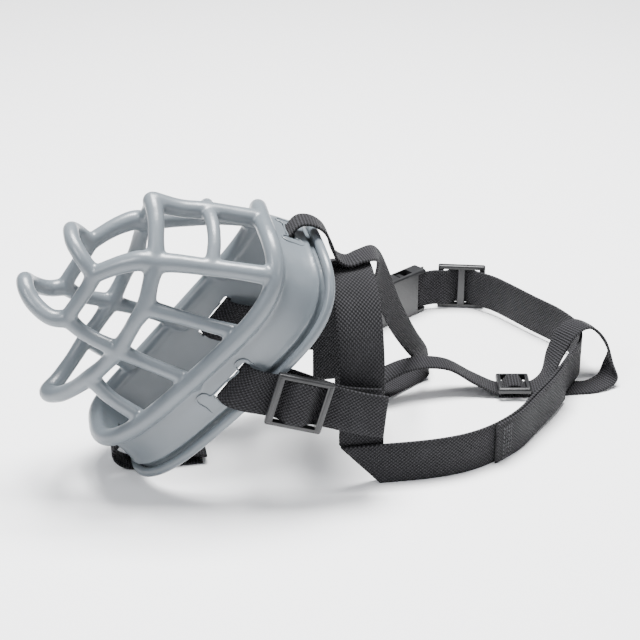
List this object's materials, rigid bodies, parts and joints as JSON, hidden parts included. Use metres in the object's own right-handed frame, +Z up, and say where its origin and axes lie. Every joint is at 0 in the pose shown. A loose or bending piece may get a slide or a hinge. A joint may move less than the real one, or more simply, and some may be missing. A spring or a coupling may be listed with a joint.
{
  "type": "basket muzzle",
  "caption": "Soft rubber basket muzzle with an open cage, flanged face band and black webbing harness with sliders and a side-release buckle.",
  "frame": {"origin": "middle of the footprint, on the floor", "axes": "+Z up, +X from the nose of the basket towards the neck loop, -Y is the wearer's left"},
  "size_m": [0.2848, 0.1794, 0.1308],
  "materials": {
    "rubber": "semi-gloss moulded thermoplastic rubber",
    "webbing": "matte plain-weave nylon webbing",
    "narrow_webbing": "matte plain-weave nylon webbing",
    "plastic": "satin moulded acetal",
    "thread": "polyester thread"
  },
  "bodies": {
    "muzzle": {"basket": "rubber", "left_cheek_strap": "webbing", "right_cheek_strap": "webbing", "crown_strap": "webbing", "neck_strap": "webbing", "neck_overlap": "webbing", "plug_strap": "webbing", "buckle_plug": "plastic", "overhead_strap": "narrow_webbing", "chin_strap": "narrow_webbing", "tack_neck": "thread"},
    "left_slider": {"left_cheek_slider": "plastic"},
    "right_slider": {"right_cheek_slider": "plastic"},
    "neck_adjuster": {"neck_slider": "plastic"},
    "overhead_adjuster": {"overhead_slider": "plastic"},
    "socket": {"buckle_socket": "plastic"},
    "prong_upper": {"plug_prong_upper": "plastic"},
    "prong_lower": {"plug_prong_lower": "plastic"}
  },
  "joints": [
    {"name": "left_slider_slide", "type": "slide", "parent": "muzzle", "child": "left_slider", "axis": [0.9569, -0.05, -0.286], "range_m": [-0.004, 0.006], "deforming": ["left_cheek_strap"]},
    {"name": "right_slider_slide", "type": "slide", "parent": "muzzle", "child": "right_slider", "axis": [0.9569, 0.05, -0.286], "range_m": [-0.004, 0.006], "deforming": ["right_cheek_strap"]},
    {"name": "overhead_slider_slide", "type": "slide", "parent": "muzzle", "child": "overhead_adjuster", "axis": [0.9848, -0.174, 0], "range_m": [-0.004, 0.003], "deforming": ["overhead_strap"]},
    {"name": "buckle_release", "type": "slide", "parent": "muzzle", "child": "socket", "axis": [0.8383, 0.5452, 0], "range_m": [0, 0.024], "deforming": ["neck_strap", "plug_prong_upper", "plug_prong_lower"]},
    {"name": "neck_slider_slide", "type": "slide", "parent": "socket", "child": "neck_adjuster", "axis": [0.9659, -0.259, 0], "range_m": [0, 0.008], "deforming": ["neck_strap"]},
    {"name": "prong_upper_squeeze", "type": "hinge", "parent": "muzzle", "child": "prong_upper", "pos_m": [0.04333, 0.07112, 0.0196], "axis": [0.5452, -0.8383, 0], "range_deg": [-9, 0], "stiffness_Nm_per_rad": 0.05},
    {"name": "prong_lower_squeeze", "type": "hinge", "parent": "muzzle", "child": "prong_lower", "pos_m": [0.04333, 0.07112, 0.0056], "axis": [0.5452, -0.8383, 0], "range_deg": [0, 9], "stiffness_Nm_per_rad": 0.05}
  ]
}
